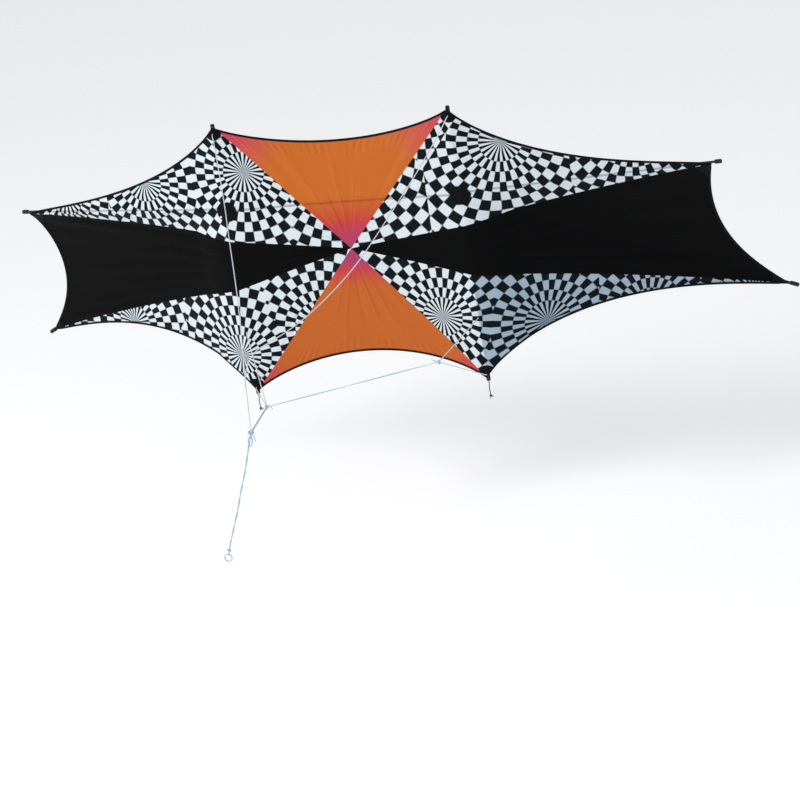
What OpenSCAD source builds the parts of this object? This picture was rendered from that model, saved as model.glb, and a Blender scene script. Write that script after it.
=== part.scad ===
// Twin-spine kite with eight points. The sail lies in front of two upright spines, and four
// wing spars reach from the hubs to the wing tips. Millimetres. +X is to the right as the face
// is seen, +Z is towards the nose and +Y is away from the face. The kite is drawn about a base
// point midway between the bottom tips, then moved so that the tow knot is the origin.

/* [Frame] */
// Length of the sail along each spine
spine_length = 650; // [640:5:660]
// Half of the distance between the spines
spine_offset = 281; // [276:1:286]
// Diameter of the spines and spars
rod_d = 6; // [5:0.5:6]
// Height of the hubs above the bottom tips
hub_height = 444; // [440:1:448]

/* [Wings] */
// Sideways reach of the upper wing tips
upper_reach = 834; // [825:1:840]
// Height of the upper wing tips
upper_height = 432; // [428:1:436]
// How far the upper wing tips stand back
upper_back = 150; // [145:1:155]
// Sideways reach of the lower wing tips
lower_reach = 930; // [920:1:940]
// Height of the lower wing tips
lower_height = 54; // [48:1:60]
// How far the lower wing tips stand back
lower_back = 392; // [385:1:399]

/* [Sail] */
// Thickness of the sail solids
sail_t = 0.8; // [0.6:0.1:1]
// Width of the edge binding
binding_w = 5; // [4:0.5:6]
// Thickness of the edge binding
binding_t = 2.4; // [2:0.1:2.6]
// Scallop depth of the top edge
top_sag = 60; // [55:1:65]
// Scallop depth of the bottom edge
bottom_sag = 76; // [70:1:80]
// Scallop depth of the upper wing edges
upper_sag = 48; // [44:1:52]
// Scallop depth of the lower wing edges
lower_sag = 94; // [90:1:98]
// Scallop depth of the wing side edges
side_sag = 62; // [56:1:68]
// Radius of the round patch over each hub
hub_patch_r = 25; // [22:1:28]

/* [Bridle] */
// Diameter of the bridle legs
leg_d = 2.2; // [1.8:0.1:2.4]
// Diameter of the cross leg
cross_leg_d = 3; // [2.4:0.1:3.2]
// Diameter of the twisted pair that runs to the tow knot
pair_d = 4.4; // [4:0.1:4.8]
// Diameter of the leader
leader_d = 4; // [3.4:0.1:4.4]

/* [Hidden] */

black = [0.05, 0.05, 0.055];
carbon = [0.10, 0.10, 0.11];
orange = [0.92, 0.42, 0.08];
check = [0.62, 0.66, 0.68];
line_white = [0.86, 0.90, 0.95];

rod_r = rod_d / 2;
rod_play = 0.2;             // room round a rod in a cap or socket
spine_play = 0.08;          // room round a spine in a turning ring
seam_gap = 0.5;             // half of the gap between neighbouring panels
binding_gap = 0.4;          // gap between a panel's edge and its binding
ridge_y = -6.5;             // the sail's middle at a spine
ridge_in = 2;               // centre panels stop this far inside the spine line
ridge_out = 3.5;            // wing panels start this far outside it
centre_z = 332;             // height of the point where all the panels meet
ridge_hi = 371;             // height where the upper seam crosses a spine
ridge_lo = 253;             // height where the lower seam crosses a spine
bay_min = 13;               // depth of the centre bay behind the spines at the hubs
bay_low = 26;               // extra depth of the bay at the bottom
bay_top = 30;               // extra depth of the bay at the top

upper_slope = (upper_back - ridge_y) / (upper_reach - spine_offset);
lower_slope = (lower_back - ridge_y) / (lower_reach - spine_offset);
fan_lead = 0.03;            // the fan opens this slope below the level of the hub
fan_fall = (hub_height - lower_height) / (lower_reach - spine_offset) - fan_lead;
fan_run = 100;              // beyond this distance from the spine the sail rests on the lower spar
fan_power = 0.75;           // under 1, so that the cloth bellies back between the spars
upper_bow = 4;              // rise of the upper wing seam over a straight line
lower_bow = 12;             // rise of the lower wing seam over a straight line

// How deep the centre bay lies behind the spine line at height z
function bay_depth(z) = bay_min
    + bay_low * pow(max(0, hub_height - z) / hub_height, 2)
    + bay_top * pow(max(0, z - hub_height) / (spine_length - hub_height), 2);
// 0 on the upper spar and above it, 1 on the lower spar and below it, w outside the spine
function fan(w, z) = min(1, max(0, ((hub_height - z) / w - fan_lead) / fan_fall));
// How steeply a wing runs back
function wing_slope(w, z) =
    upper_slope + (lower_slope - upper_slope) * pow(fan(w, z), fan_power) * min(1, w / fan_run);
// The sail's middle surface, as a depth over the plane of the face
function sail_y(x, z) = abs(x) <= spine_offset
    ? ridge_y + bay_depth(z) * (1 - pow(x / spine_offset, 2))
    : ridge_y + (abs(x) - spine_offset) * wing_slope(abs(x) - spine_offset, z);

// ---- outlines, as points [x, z] on the face -------------------------------------------------
function unit(v) = v / norm(v);
function mix(a, b, t) = a + (b - a) * t;
function left_of(v) = [-v[1], v[0]];
// The scallops' shapes: how fast the edge leaves its first tip and its last, 1 for a parabola
even_top = [0.8, 0.8];
even_bottom = [0.85, 0.85];
upper_form = [1.2, 0.8];
side_form = [1.1, 0.95];
lower_form = [0.75, 1.1];
function hump(f, t) = pow(t, f[0]) * pow(1 - t, f[1]);
// A scalloped edge from a to b, cut in by sag towards its left, then moved in by inset
function scallop(a, b, sag, form, inset, t) =
    mix(a, b, t)
    + left_of(unit(b - a)) * (sag * hump(form, t) / hump(form, form[0] / (form[0] + form[1])) + inset);
// Positions along an edge, closer together near its ends
stations = 28;
end_share = 0.6;
function spaced(t0, t1) = [for (i = [0 : stations])
    mix(t0, t1, (1 - end_share) * i / stations + end_share * (1 - cos(180 * i / stations)) / 2)];
// Moves a triangle's corner p towards the centre of its inscribed circle, for a gap of d
function incentre(a, b, c) =
    (a * norm(b - c) + b * norm(c - a) + c * norm(a - b)) / (norm(b - c) + norm(c - a) + norm(a - b));
function inradius(a, b, c) =
    abs((b - a)[0] * (c - a)[1] - (b - a)[1] * (c - a)[0])
    / (norm(b - c) + norm(c - a) + norm(a - b));
function inset(p, a, b, c, d) =
    mix(p, incentre(a, b, c), d / inradius(a, b, c));

centre = [0, centre_z];
top_r = [spine_offset, spine_length];
top_l = [-spine_offset, spine_length];
bottom_r = [spine_offset, 0];
bottom_l = [-spine_offset, 0];
upper_tip = [upper_reach, upper_height];
lower_tip = [lower_reach, lower_height];
panel_inset = binding_w + binding_gap;

// Places a point of the right half on the side s, which is 1 or -1
function on_side(p, s) = [s * p[0], p[1]];

// ---- thin sheets that follow the sail ------------------------------------------------------
// inner and outer are lists of [x, z] points, one pair for each station along the sheet. The
// first and last rows rise over a straight line by the two bows.
module sheet(inner, outer, across, t, lift = 0, bows = [0, 0]) {
    rows = len(inner);
    row = across + 1;
    grid = [for (i = [0 : rows - 1], j = [0 : across])
        mix(inner[i], outer[i], j / across)
        + [0, mix(bows[0], bows[1], i / (rows - 1)) * 4 * j / across * (1 - j / across)]];
    n = len(grid);
    front = [for (p = grid) [p[0], sail_y(p[0], p[1]) + lift - t / 2, p[1]]];
    back = [for (p = grid) [p[0], sail_y(p[0], p[1]) + lift + t / 2, p[1]]];
    cells = [for (i = [0 : rows - 2], j = [0 : across - 1]) i * row + j];
    rim = concat(
        [for (j = [0 : across - 1]) j],
        [for (i = [0 : rows - 2]) i * row + across],
        [for (j = [across : -1 : 1]) (rows - 1) * row + j],
        [for (i = [rows - 1 : -1 : 1]) i * row]
    );
    m = len(rim);
    faces = concat(
        [for (c = cells) [c, c + 1, c + row + 1]],
        [for (c = cells) [c, c + row + 1, c + row]],
        [for (c = cells) [n + c, n + c + row + 1, n + c + 1]],
        [for (c = cells) [n + c, n + c + row, n + c + row + 1]],
        [for (k = [0 : m - 1]) [rim[(k + 1) % m], rim[k], n + rim[k]]],
        [for (k = [0 : m - 1]) [rim[(k + 1) % m], n + rim[k], n + rim[(k + 1) % m]]]
    );
    turn = left_of(inner[1] - inner[0]) * (outer[1] - inner[1]) > 0;
    polyhedron(
        concat(front, back),
        turn ? faces : [for (f = faces) [f[0], f[2], f[1]]],
        convexity = 6
    );
}

// ---- rods, cups and cords -----------------------------------------------------------------
// Turns local z to lie along the direction from p to q, starting at p
module along(p, q) {
    d = q - p;
    translate(p) rotate([0, acos(d[2] / norm(d)), atan2(d[1], d[0])]) children();
}
module rod(p, q, r) {
    along(p, q) cylinder(r = r, h = norm(q - p), $fn = 32);
}
// A cup over a rod's end: the mouth at p, the closed dome beyond q
module cup(p, q, r, bore) {
    deep = norm(q - p);
    wall = r - bore;
    along(p, q) difference() {
        union() {
            cylinder(r = r, h = deep, $fn = 32);
            translate([0, 0, deep]) cylinder(r1 = r, r2 = r - wall, h = wall, $fn = 32);
        }
        translate([0, 0, -1]) cylinder(r = bore, h = deep, $fn = 32);
    }
}

function ring_axes(t) = let (side = unit(cross(t, abs(t[2]) < 0.9 ? [0, 0, 1] : [1, 0, 0])))
    [side, cross(t, side)];
function tangent(route, i) = unit(route[min(i + 1, len(route) - 1)] - route[max(i - 1, 0)]);
// A cord of eight sides through the route's points
module cord(route, d) {
    sides = 8;
    rings = len(route);
    points = [
        for (i = [0 : rings - 1])
            let (axes = ring_axes(tangent(route, i)))
            for (k = [0 : sides - 1])
                route[i] + d / 2 * (cos(360 * k / sides) * axes[0] + sin(360 * k / sides) * axes[1])
    ];
    faces = concat(
        [[for (k = [0 : sides - 1]) k]],
        [[for (k = [sides - 1 : -1 : 0]) (rings - 1) * sides + k]],
        [for (i = [0 : rings - 2], k = [0 : sides - 1])
            [i * sides + k, (i + 1) * sides + k, i * sides + (k + 1) % sides]],
        [for (i = [0 : rings - 2], k = [0 : sides - 1])
            [i * sides + (k + 1) % sides, (i + 1) * sides + k, (i + 1) * sides + (k + 1) % sides]]
    );
    polyhedron(points, faces, convexity = 8);
}

// ---- frame --------------------------------------------------------------------------------
cap_r = 5;
cap_wall_bore = rod_r + rod_play;
spine_end = 6;              // the spines stop this far inside the sail's tips
module spine(s) {
    color(carbon)
        translate([s * spine_offset, 0, spine_end])
            cylinder(r = rod_r, h = spine_length - 2 * spine_end, $fn = 48);
}
module top_cap(s) {
    x = s * spine_offset;
    color(black)
        cup([x, 0, spine_length - 20], [x, 0, spine_length + 2], cap_r, cap_wall_bore);
}
nock_slot = 2.4;            // width of the slot that the tail tie passes through
module bottom_nock(s) {
    x = s * spine_offset;
    color(black)
        difference() {
            cup([x, 0, 20], [x, 0, -4], cap_r, cap_wall_bore);
            translate([x - nock_slot / 2, -cap_r - 1, -7])
                cube([nock_slot, 2 * cap_r + 2, 4]);
        }
}

hub_r = 5.6;                // radius of the hub and of the fitting's rings
hub_half = 10.8;            // half height of the hub round the spine
cross_y = 11;               // the cross spar lies this far behind the spines
cross_socket = 40;          // how far the cross spar's socket reaches inwards
module hub(s) {
    x = s * spine_offset;
    color(black)
        difference() {
            union() {
                translate([x, 0, hub_height - hub_half])
                    cylinder(r = hub_r, h = 2 * hub_half, $fn = 48);
                translate([x - s * 8 - 6, 0, hub_height - 7])
                    cube([12, 16, 14]);
                translate([x - s * 4, cross_y, hub_height])
                    rotate([0, -90 * s, 0])
                        cylinder(r = 5.5, h = cross_socket - 4, $fn = 48);
            }
            translate([x, 0, hub_height - 20])
                cylinder(r = rod_r + spine_play, h = 40, $fn = 48);
            translate([x - s * 8, cross_y, hub_height])
                rotate([0, -90 * s, 0])
                    cylinder(r = cap_wall_bore, h = cross_socket, $fn = 48);
        }
}
cross_end = spine_offset - 8.5;
module cross_spar() {
    color(carbon)
        translate([-cross_end, cross_y, hub_height])
            rotate([0, 90, 0])
                cylinder(r = rod_r, h = 2 * cross_end, $fn = 48);
}

// The wing fitting turns on the spine with one ring above the hub and one below it
ring_h = 8;
ring_gap = 0.7;
socket_len = 34;
socket_r = 5;
spar_root_y = 8;
spar_root_x = 14;           // the spars start this far outside the spine
upper_root = [spine_offset + spar_root_x, spar_root_y, hub_height + 9];
lower_root = [spine_offset + spar_root_x, spar_root_y, hub_height - 9];
upper_end = [upper_reach + 16, upper_back + 11, upper_height - 0.5];
lower_end = [lower_reach + 12, lower_back + 14, lower_height - 7];

module on_wing(s) {
    if (s > 0) children();
    else mirror([1, 0, 0]) children();
}
module wing_fitting(s) {
    upper_dir = unit(upper_end - upper_root);
    lower_dir = unit(lower_end - lower_root);
    z_low = hub_height - hub_half - ring_gap - ring_h;
    z_high = hub_height + hub_half + ring_gap;
    color(black)
        on_wing(s) difference() {
            union() {
                for (z = [z_low, z_high]) {
                    translate([spine_offset, 0, z]) cylinder(r = hub_r, h = ring_h, $fn = 48);
                    translate([spine_offset, -1.5, z]) cube([12, 7.1, ring_h]);
                }
                translate([spine_offset + 7, -1.5, z_low])
                    cube([5, 13.5, z_high + ring_h - z_low]);
                along(upper_root - 5 * upper_dir, upper_end)
                    cylinder(r = socket_r, h = socket_len, $fn = 48);
                along(lower_root - 5 * lower_dir, lower_end)
                    cylinder(r = socket_r, h = socket_len, $fn = 48);
            }
            translate([spine_offset, 0, z_low - 1])
                cylinder(r = rod_r + spine_play, h = 60, $fn = 48);
            along(upper_root - 0.5 * upper_dir, upper_end)
                cylinder(r = cap_wall_bore, h = 2 * socket_len, $fn = 48);
            along(lower_root - 0.5 * lower_dir, lower_end)
                cylinder(r = cap_wall_bore, h = 2 * socket_len, $fn = 48);
        }
}
module upper_spar(s) {
    color(carbon) on_wing(s) rod(upper_root, upper_end, rod_r);
}
module lower_spar(s) {
    color(carbon) on_wing(s) rod(lower_root, lower_end, rod_r);
}
cap_past = 2.5;             // a cap's wall goes on this far past the rod's end
module tip_cap(root, end, grip, s) {
    d = unit(end - root);
    color(black) on_wing(s) cup(end - grip * d, end + cap_past * d, cap_r, cap_wall_bore);
}
module upper_tip_cap(s) {
    tip_cap(upper_root, upper_end, 12, s);
}
module lower_tip_cap(s) {
    tip_cap(lower_root, lower_end, 18, s);
}

// ---- sail ---------------------------------------------------------------------------------
module centre_panel(a, b, sag, form, tint) {
    p = inset(a, a, b, centre, seam_gap);
    q = inset(b, a, b, centre, seam_gap);
    apex = inset(centre, a, b, centre, seam_gap);
    edge = [for (t = spaced(0.025, 0.975)) scallop(p, q, sag, form, panel_inset, t)];
    color(tint) sheet([for (e = edge) mix(apex, e, 0.03)], edge, 8, sail_t);
}
// A panel between the centre and the stretch of the spine line from height hi down to lo
module inner_panel(s, hi, lo, tint) {
    steps = 6;
    a = on_side([spine_offset - ridge_in, hi], s);
    b = on_side([spine_offset - ridge_in, lo], s);
    p = inset(a, a, b, centre, seam_gap);
    q = inset(b, a, b, centre, seam_gap);
    apex = inset(centre, a, b, centre, seam_gap);
    side = [for (i = [0 : steps]) mix(p, q, i / steps)];
    color(tint) sheet([for (e = side) mix(apex, e, 0.03)], side, 8, sail_t);
}
ridge_x = spine_offset + ridge_out;
// A panel of a wing: corners at the ridge at heights hi and lo, and the edge's points
module wing_panel(s, hi, lo, edge, across, bows, tint) {
    side = [for (i = [0 : stations]) on_side([ridge_x, mix(hi, lo, i / stations)], s)];
    color(tint) sheet(side, [for (e = edge) on_side(e, s)], across, sail_t, 0, bows);
}
module wing_upper_check(s) {
    edge = [for (t = spaced(0.97, 0.035))
        scallop(upper_tip, top_r, upper_sag, upper_form, panel_inset, t)];
    wing_panel(s, spine_length - 16, ridge_hi + 2 * seam_gap, edge, 6, [0, upper_bow], check);
}
module wing_black(s) {
    edge = [for (t = spaced(1, 0.045))
        scallop(lower_tip, upper_tip, side_sag, side_form, panel_inset, t)];
    wing_panel(s, ridge_hi - seam_gap, ridge_lo, edge, 10, [upper_bow, lower_bow], black);
}
module wing_lower_check(s) {
    edge = [for (t = spaced(0.91, 0.03))
        scallop(bottom_r, lower_tip, lower_sag, lower_form, panel_inset + seam_gap, t)];
    wing_panel(s, ridge_lo - 3 * seam_gap, 17, edge, 6, [lower_bow - 2, 0], check);
}
// The binding is a strip just outside the panels, along the whole scallop
module binding(a, b, sag, form, t0, t1, s = 1) {
    t = spaced(t0, t1);
    color(black)
        sheet(
            [for (u = t) on_side(scallop(a, b, sag, form, binding_w, u), s)],
            [for (u = t) on_side(scallop(a, b, sag, form, 0, u), s)],
            1, binding_t
        );
}
// Half of a round patch, in front of the sail on the centre's side of the spine
module hub_patch(s) {
    turn = [for (i = [0 : 8]) 92 + 176 * i / 8];
    rim = [for (a = turn) [spine_offset + hub_patch_r * cos(a), hub_height + hub_patch_r * sin(a)]];
    spine_line = spine_offset - ridge_in;
    outer = [for (p = rim) on_side([min(p[0], spine_line - 0.6), p[1]], s)];
    inner = [for (p = rim) on_side([spine_line, p[1]], s)];
    color(black) sheet(inner, outer, 3, sail_t, -sail_t - 0.3);
}
// A corner piece in front of the sail at each end of a spine
module spine_patches(s) {
    spine_line = spine_offset - ridge_in;
    for (end = [[spine_length - 8, spine_length - 34], [8, 34]]) {
        tip = [spine_line, end[0]];
        low = [spine_line, end[1]];
        side = [spine_line - 13, mix(end[0], end[1], 0.72)];
        color(black)
            sheet(
                [on_side(tip, s), on_side(mix(tip, low, 0.5), s), on_side(low, s)],
                [on_side(mix(tip, side, 0.3), s), on_side(side, s), on_side(mix(low, side, 0.3), s)],
                2, sail_t, -binding_t / 2 - sail_t / 2 - 0.3
            );
    }
}

// ---- bridle, leader and ties, with their routes in the kite's own millimetres --------------
tow = [0, -850, 206];
left_v = [-169, -265, 54];
right_v = [251, -265, 138];
knot_r = 5.2;
straight_out = -12;         // a leg leaves its spine straight, as far as this
rod_face = -rod_r - 0.1;
cap_face = -cap_r - 0.1;
// The point where a cord that comes from p meets a knot at q
function at_knot(p, q, r) = q + unit(p - q) * r;

top_leg_z = 632;
upper_v_z = 150;
lower_v_z = 12;
left_top_route = [
    [-spine_offset, cap_face, top_leg_z], [-spine_offset, straight_out, top_leg_z], [-262, -60, 600],
    [-209, -205, 524], [-175, -305, 471],
    [-120, -465, 391], [-80, -592, 330], [-40, -725, 266], at_knot([-40, -725, 266], tow, 6)
];
right_top_route = [
    [spine_offset, cap_face, top_leg_z], [spine_offset, straight_out, top_leg_z], [262, -58, 596],
    [225, -150, 537], [169, -292, 458],
    [143, -360, 424], [118, -410, 398], [90, -465, 375], [66, -512, 359], [48, -548, 349],
    [22, -590, 338], [-6, -630, 330], [-28, -658, 322], [-40, -684, 306], [-42, -706, 290],
    [-38, -732, 275], [-25, -768, 257], [-0.9, -846.1, 210.5]
];
leader_route = [
    at_knot([-4, -868, 180], tow, 6), [-3, -862, 190], [-6, -872, 172], [-14, -885, 136],
    [-25, -900, 98], [-34, -914, 62], [-44, -930, 27], [-54, -941, -5]
];
loop_centre = [-61, -950, -34];

// A leg that leaves the spine on side s at height z, from the face of the rod or cap
module spine_leg(s, z, face, knot) {
    out = [s * spine_offset, straight_out, z];
    color(line_white) cord([[out[0], face, z], out, at_knot(out, knot, knot_r)], leg_d);
}
module leg(p, knot, d, r) {
    color(line_white) cord([p, at_knot(p, knot, r)], d);
}
module knot(p, r) {
    color(line_white) translate(p) sphere(r = r, $fn = 32);
}
// A small loop of doubled line, with its eye open along Y, and the throat it closes in
module leader_loop() {
    leader_end = leader_route[len(leader_route) - 1];
    color(line_white) union() {
        translate(loop_centre)
            rotate([90, 0, 0])
                rotate_extrude($fn = 48) translate([8, 0]) circle(r = 2, $fn = 24);
        rod(loop_centre + [1.9, 0.5, 7.7], leader_end, 3.2);
    }
}
module tail_tie(s) {
    x = s * spine_offset;
    color(black) union() {
        cord([[x, 0, -3.3], [x, 0, -14], [x - 1, -1, -26], [x, -1, -41]], leg_d);
        translate([x, -1, -42]) sphere(r = 3.6, $fn = 24);
    }
}

// ---- placing ------------------------------------------------------------------------------
module placed() {
    translate(-tow) children();
}

placed() spine(-1);  // left_spine
placed() spine(1);  // right_spine
placed() top_cap(-1);  // left_top_cap
placed() top_cap(1);  // right_top_cap
placed() bottom_nock(-1);  // left_bottom_nock
placed() bottom_nock(1);  // right_bottom_nock
placed() hub(-1);  // left_hub
placed() hub(1);  // right_hub
placed() cross_spar();
placed() centre_panel(top_r, top_l, top_sag, even_top, orange);  // top_panel
placed() centre_panel(bottom_l, bottom_r, bottom_sag, even_bottom, orange);  // bottom_panel
placed() inner_panel(-1, spine_length - 6, ridge_hi, check);  // left_inner_upper_check
placed() inner_panel(1, spine_length - 6, ridge_hi, check);  // right_inner_upper_check
placed() inner_panel(-1, ridge_hi, ridge_lo, black);  // left_inner_black
placed() inner_panel(1, ridge_hi, ridge_lo, black);  // right_inner_black
placed() inner_panel(-1, ridge_lo, 6, check);  // left_inner_lower_check
placed() inner_panel(1, ridge_lo, 6, check);  // right_inner_lower_check
placed() binding(top_r, top_l, top_sag, even_top, 0.012, 0.988);  // top_binding
placed() binding(bottom_l, bottom_r, bottom_sag, even_bottom, 0.012, 0.988);  // bottom_binding
placed() hub_patch(-1);  // left_hub_patch
placed() hub_patch(1);  // right_hub_patch
placed() spine_patches(-1);  // left_spine_patches
placed() spine_patches(1);  // right_spine_patches
placed() wing_fitting(-1);  // left_wing_fitting
placed() upper_spar(-1);  // left_upper_spar
placed() lower_spar(-1);  // left_lower_spar
placed() upper_tip_cap(-1);  // left_upper_tip_cap
placed() lower_tip_cap(-1);  // left_lower_tip_cap
placed() wing_upper_check(-1);  // left_wing_upper_check
placed() wing_black(-1);  // left_wing_black
placed() wing_lower_check(-1);  // left_wing_lower_check
placed() binding(upper_tip, top_r, upper_sag, upper_form, 0.035, 0.985, -1);  // left_upper_binding
placed() binding(lower_tip, upper_tip, side_sag, side_form, 0.04, 0.975, -1);  // left_side_binding
placed() binding(bottom_r, lower_tip, lower_sag, lower_form, 0.015, 0.965, -1);  // left_lower_binding
placed() wing_fitting(1);  // right_wing_fitting
placed() upper_spar(1);  // right_upper_spar
placed() lower_spar(1);  // right_lower_spar
placed() upper_tip_cap(1);  // right_upper_tip_cap
placed() lower_tip_cap(1);  // right_lower_tip_cap
placed() wing_upper_check(1);  // right_wing_upper_check
placed() wing_black(1);  // right_wing_black
placed() wing_lower_check(1);  // right_wing_lower_check
placed() binding(upper_tip, top_r, upper_sag, upper_form, 0.035, 0.985, 1);  // right_upper_binding
placed() binding(lower_tip, upper_tip, side_sag, side_form, 0.04, 0.975, 1);  // right_side_binding
placed() binding(bottom_r, lower_tip, lower_sag, lower_form, 0.015, 0.965, 1);  // right_lower_binding
placed() color(line_white) cord(left_top_route, leg_d);  // left_top_leg
placed() color(line_white) cord(right_top_route, leg_d);  // right_top_leg
placed() spine_leg(-1, upper_v_z, rod_face, left_v);  // left_upper_v_leg
placed() spine_leg(-1, lower_v_z, cap_face, left_v);  // left_lower_v_leg
placed() spine_leg(1, upper_v_z, rod_face, right_v);  // right_upper_v_leg
placed() spine_leg(1, lower_v_z, cap_face, right_v);  // right_lower_v_leg
placed() leg(at_knot(left_v, right_v, knot_r), left_v, cross_leg_d, knot_r);  // cross_leg
placed() leg(at_knot(tow, left_v, knot_r), tow, pair_d, 6);  // tow_pair
placed() knot(left_v, knot_r - 0.1);  // left_v_knot
placed() knot(right_v, knot_r - 0.1);  // right_v_knot
placed() knot(tow, 5.9);  // tow_knot
placed() color(line_white) cord(leader_route, leader_d);  // leader
placed() leader_loop();
placed() tail_tie(-1);  // left_tail_tie
placed() tail_tie(1);  // right_tail_tie
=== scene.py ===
# %% [markdown]
# A twin-spine kite with eight scalloped points, seen from its face and held by its tow knot.
# The packed CAD gives the frame. This file adds the cloth, its prints, the seams, the edge
# tapes, the patches, the cords and the knots. One unit is one metre, and +Z is towards the nose.

# %% setup
import math
import bpy
import numpy as np
from mathutils import Matrix, Vector


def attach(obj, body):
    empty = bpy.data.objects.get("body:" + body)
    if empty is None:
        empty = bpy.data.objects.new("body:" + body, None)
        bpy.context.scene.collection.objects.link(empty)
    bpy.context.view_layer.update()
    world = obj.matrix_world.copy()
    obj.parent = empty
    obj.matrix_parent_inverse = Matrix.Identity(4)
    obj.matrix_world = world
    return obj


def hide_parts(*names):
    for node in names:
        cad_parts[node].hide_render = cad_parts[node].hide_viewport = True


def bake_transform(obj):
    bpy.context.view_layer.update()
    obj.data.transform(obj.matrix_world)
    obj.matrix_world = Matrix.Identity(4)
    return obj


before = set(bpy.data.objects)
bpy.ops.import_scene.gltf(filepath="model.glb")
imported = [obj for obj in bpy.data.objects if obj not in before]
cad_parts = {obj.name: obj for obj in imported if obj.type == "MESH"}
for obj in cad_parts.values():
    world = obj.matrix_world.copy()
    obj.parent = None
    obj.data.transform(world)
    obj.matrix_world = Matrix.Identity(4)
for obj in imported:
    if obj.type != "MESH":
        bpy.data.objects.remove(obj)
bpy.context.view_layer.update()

# %% [markdown]
# The kite is laid out in its own millimetres: X right, Y away from the viewer, Z towards the
# nose, from a base point midway between the bottom tips. The tow knot is the scene's origin.

# %% the kite's own millimetres
TOW = np.array([0.0, -850.0, 206.0])
SPINE, LENGTH, HUB = 281.0, 650.0, 444.0
CENTRE = np.array([0.0, 332.0])
TOP, BOTTOM = np.array([SPINE, LENGTH]), np.array([SPINE, 0.0])
UPPER_TIP, LOWER_TIP = np.array([834.0, 432.0]), np.array([930.0, 54.0])
UPPER_TIP_Y, LOWER_TIP_Y, RIDGE_Y = 150.0, 392.0, -6.5
SIDES = ((-1, "left"), (1, "right"))
# depth between the spines at the hubs, then what it gains towards the bottom and the top
BILLOW, LOW_GAIN, HIGH_GAIN = 13, 26, 30

def row(p):
    """Kite millimetres to scene metres, for one point or many."""
    return (np.asarray(p, float) - TOW) / 1000.0

print("spine", LENGTH, "mm, span", 2 * LOWER_TIP[0], "mm, tow knot at", row(TOW))

# %% [markdown]
# The sail's middle surface. Between the spines it billows back. Each wing is a fan from its hub:
# it lies on the upper spar, opens towards the lower spar, and bellies back between the two.

# %% sail surface
UPPER_SLOPE = (UPPER_TIP_Y - RIDGE_Y) / (UPPER_TIP[0] - SPINE)
LOWER_SLOPE = (LOWER_TIP_Y - RIDGE_Y) / (LOWER_TIP[0] - SPINE)
SPAR_FALL = 0.03  # how far the upper spar drops for each millimetre out
FALL = (HUB - LOWER_TIP[1]) / (LOWER_TIP[0] - SPINE) - SPAR_FALL
BELLY, BELLY_START = 0.75, 100  # form of the wing's belly, and how far out it is full

def sail_y(x, z):
    """Depth of the sail's middle surface at x, z."""
    x, z = np.abs(np.asarray(x, float)), np.asarray(z, float)
    below, above = np.clip(HUB - z, 0, None) / HUB, np.clip(z - HUB, 0, None) / (LENGTH - HUB)
    deep = BILLOW + LOW_GAIN * below ** 2 + HIGH_GAIN * above ** 2
    w = np.maximum(x - SPINE, 1e-6)
    fan = np.clip(((HUB - z) / w - SPAR_FALL) / FALL, 0, 1)
    slope = UPPER_SLOPE + (LOWER_SLOPE - UPPER_SLOPE) * fan ** BELLY * np.minimum(1, w / BELLY_START)
    return np.where(x <= SPINE, RIDGE_Y + deep * (1 - (x / SPINE) ** 2), RIDGE_Y + w * slope)

def on_sail(points, lift):
    """[x, z] points laid on the sail, moved towards the viewer by lift millimetres."""
    p = np.asarray(points, float)
    y = sail_y(p[..., 0], p[..., 1])
    base = np.stack([p[..., 0], y, p[..., 1]], -1)
    h = 0.5
    side = np.where(np.abs(p[..., 0]) <= SPINE, -1.0, 1.0) * np.sign(p[..., 0] + 1e-9)
    fx = (sail_y(p[..., 0] + side * h, p[..., 1]) - y) / (side * h)
    fz = (sail_y(p[..., 0], p[..., 1] + h) - y) / h
    n = np.stack([fx, -np.ones_like(fx), fz], -1)
    n /= np.linalg.norm(n, axis=-1, keepdims=True)
    return base + n * (np.asarray(lift)[..., None] if np.ndim(lift) else lift)

print("wing slopes", round(UPPER_SLOPE, 3), round(LOWER_SLOPE, 3))

# %% [markdown]
# The scallops. Each runs between two tips, cut in towards its left, with its own depth and form.

# %% scallops
EDGES = {  # from, to, depth, form
    "top": (TOP, TOP * [-1, 1], 60, (0.8, 0.8)),
    "bottom": (BOTTOM * [-1, 1], BOTTOM, 76, (0.85, 0.85)),
    "upper": (UPPER_TIP, TOP, 48, (1.2, 0.8)),
    "side": (LOWER_TIP, UPPER_TIP, 62, (1.1, 0.95)),
    "lower": (BOTTOM, LOWER_TIP, 94, (0.75, 1.1)),
}

def scallop(name, t, inset):
    """Points at t along a scallop, moved inwards by inset millimetres."""
    a, b, deep, (p, q) = EDGES[name]
    t = np.clip(np.asarray(t, float), 0, 1)
    peak = p / (p + q)
    u = (b - a) / np.linalg.norm(b - a)
    cut = deep * t ** p * (1 - t) ** q / (peak ** p * (1 - peak) ** q) + inset
    return a + (b - a) * t[..., None] + np.array([-u[1], u[0]]) * cut[..., None]

def eased(t0, t1, u):
    """From t0 to t1 as u runs from 0 to 1, with closer positions near both ends."""
    return t0 + (t1 - t0) * (0.4 * u + 0.3 * (1 - np.cos(math.pi * u)))

def mirrored(points, s):
    return np.asarray(points) * [s, 1]

print("scallops and their depths in mm:", {k: v[2] for k, v in EDGES.items()})

# %% [markdown]
# The camera comes first. It stands to the right of the kite and above it, a long way off, and
# leans a little.

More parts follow.
